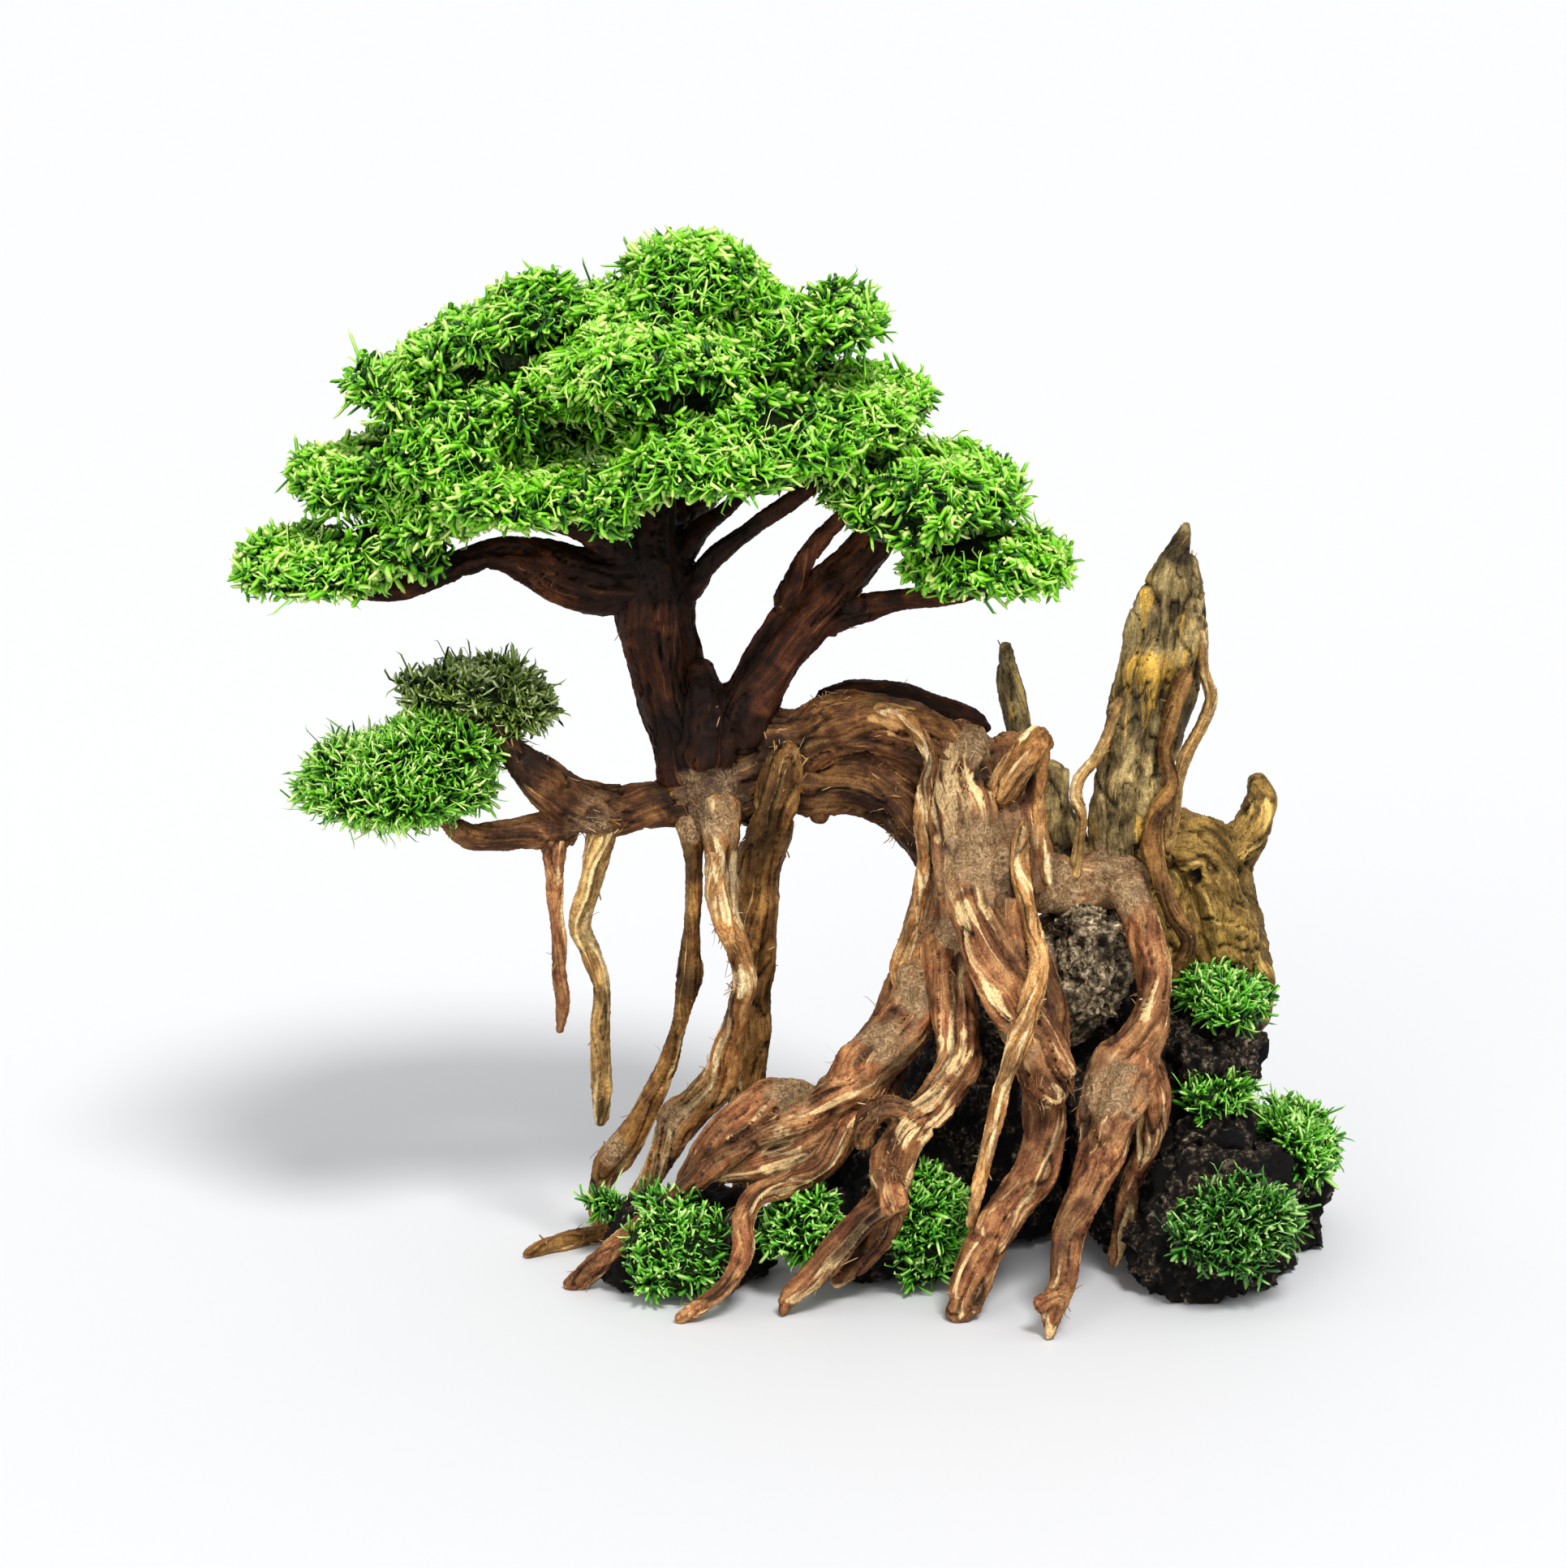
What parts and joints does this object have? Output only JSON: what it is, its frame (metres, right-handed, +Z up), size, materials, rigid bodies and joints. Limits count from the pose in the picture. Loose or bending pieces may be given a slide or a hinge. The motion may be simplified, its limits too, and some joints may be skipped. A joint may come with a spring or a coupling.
{
  "type": "driftwood bonsai tree on rocks",
  "caption": "Table-top or aquarium bonsai tree of joined driftwood with moss foliage pads and aerial roots, standing free on lava rocks.",
  "frame": {"origin": "middle of the footprint's bounding box, on the standing surface", "axes": "+Z up, +X towards the tall spire, -Y is the front, and the lowest moss pad points along -X"},
  "size_m": [0.3452, 0.1784, 0.3213],
  "materials": {
    "dark_wood": "dark stained driftwood with long grooves",
    "red_wood": "weathered red-brown driftwood with pale streaks",
    "pale_wood": "bare tan driftwood strands",
    "olive_wood": "grey-olive cracked driftwood",
    "ochre_wood": "rough ochre rotted wood",
    "filler": "granular sawdust filler over glue",
    "stone": "pitted dark lava rock",
    "pale_stone": "pitted grey lava rock",
    "leaf": "living moss mat, bright green strands over a dark core",
    "moss": "living moss tuft, deep green strands"
  },
  "bodies": {
    "root": {"left_trunk": "dark_wood", "right_trunk": "dark_wood", "arch_ridge": "dark_wood", "arch_log": "red_wood", "arch_strand": "pale_wood", "side_branch": "red_wood", "collar": "filler", "stump": "filler", "knuckle": "pale_wood", "horn": "olive_wood", "spire": "olive_wood", "spire_left_strand": "pale_wood", "spire_right_strand": "pale_wood", "spire_brown_strand": "red_wood", "tan_stump": "ochre_wood", "long_root": "red_wood", "knot_root": "red_wood", "elbow_root": "red_wood", "broad_root": "red_wood", "post_root": "red_wood", "strand_root": "pale_wood", "fork_root": "red_wood", "back_root_left": "red_wood", "back_root_mid": "red_wood", "back_root_right": "red_wood", "thin_post": "red_wood", "frayed_post": "pale_wood", "back_post": "red_wood", "hanging_long": "pale_wood", "hanging_short": "red_wood", "left_tip_root": "pale_wood", "center_rock": "pale_stone", "core_left_rock": "stone", "core_right_rock": "stone", "shelf_rock": "stone", "ledge_rock": "stone", "boulder": "stone", "corner_rock": "stone", "left_rock": "stone", "mid_rock": "stone", "pad_top": "leaf", "pad_upper_left": "leaf", "pad_upper_right": "leaf", "pad_left": "leaf", "pad_lowest_left": "leaf", "pad_front_center": "leaf", "pad_right": "leaf", "pad_lowest_right": "leaf", "pad_back": "leaf", "pad_back_high": "leaf", "side_pad_low": "leaf", "side_pad_high": "leaf", "moss_left_small": "moss", "moss_left_front": "moss", "moss_mid_front": "moss", "moss_mid_right": "moss", "moss_ball": "moss", "moss_slope": "moss", "moss_shelf": "moss", "moss_ledge": "moss"}
  },
  "joints": []
}
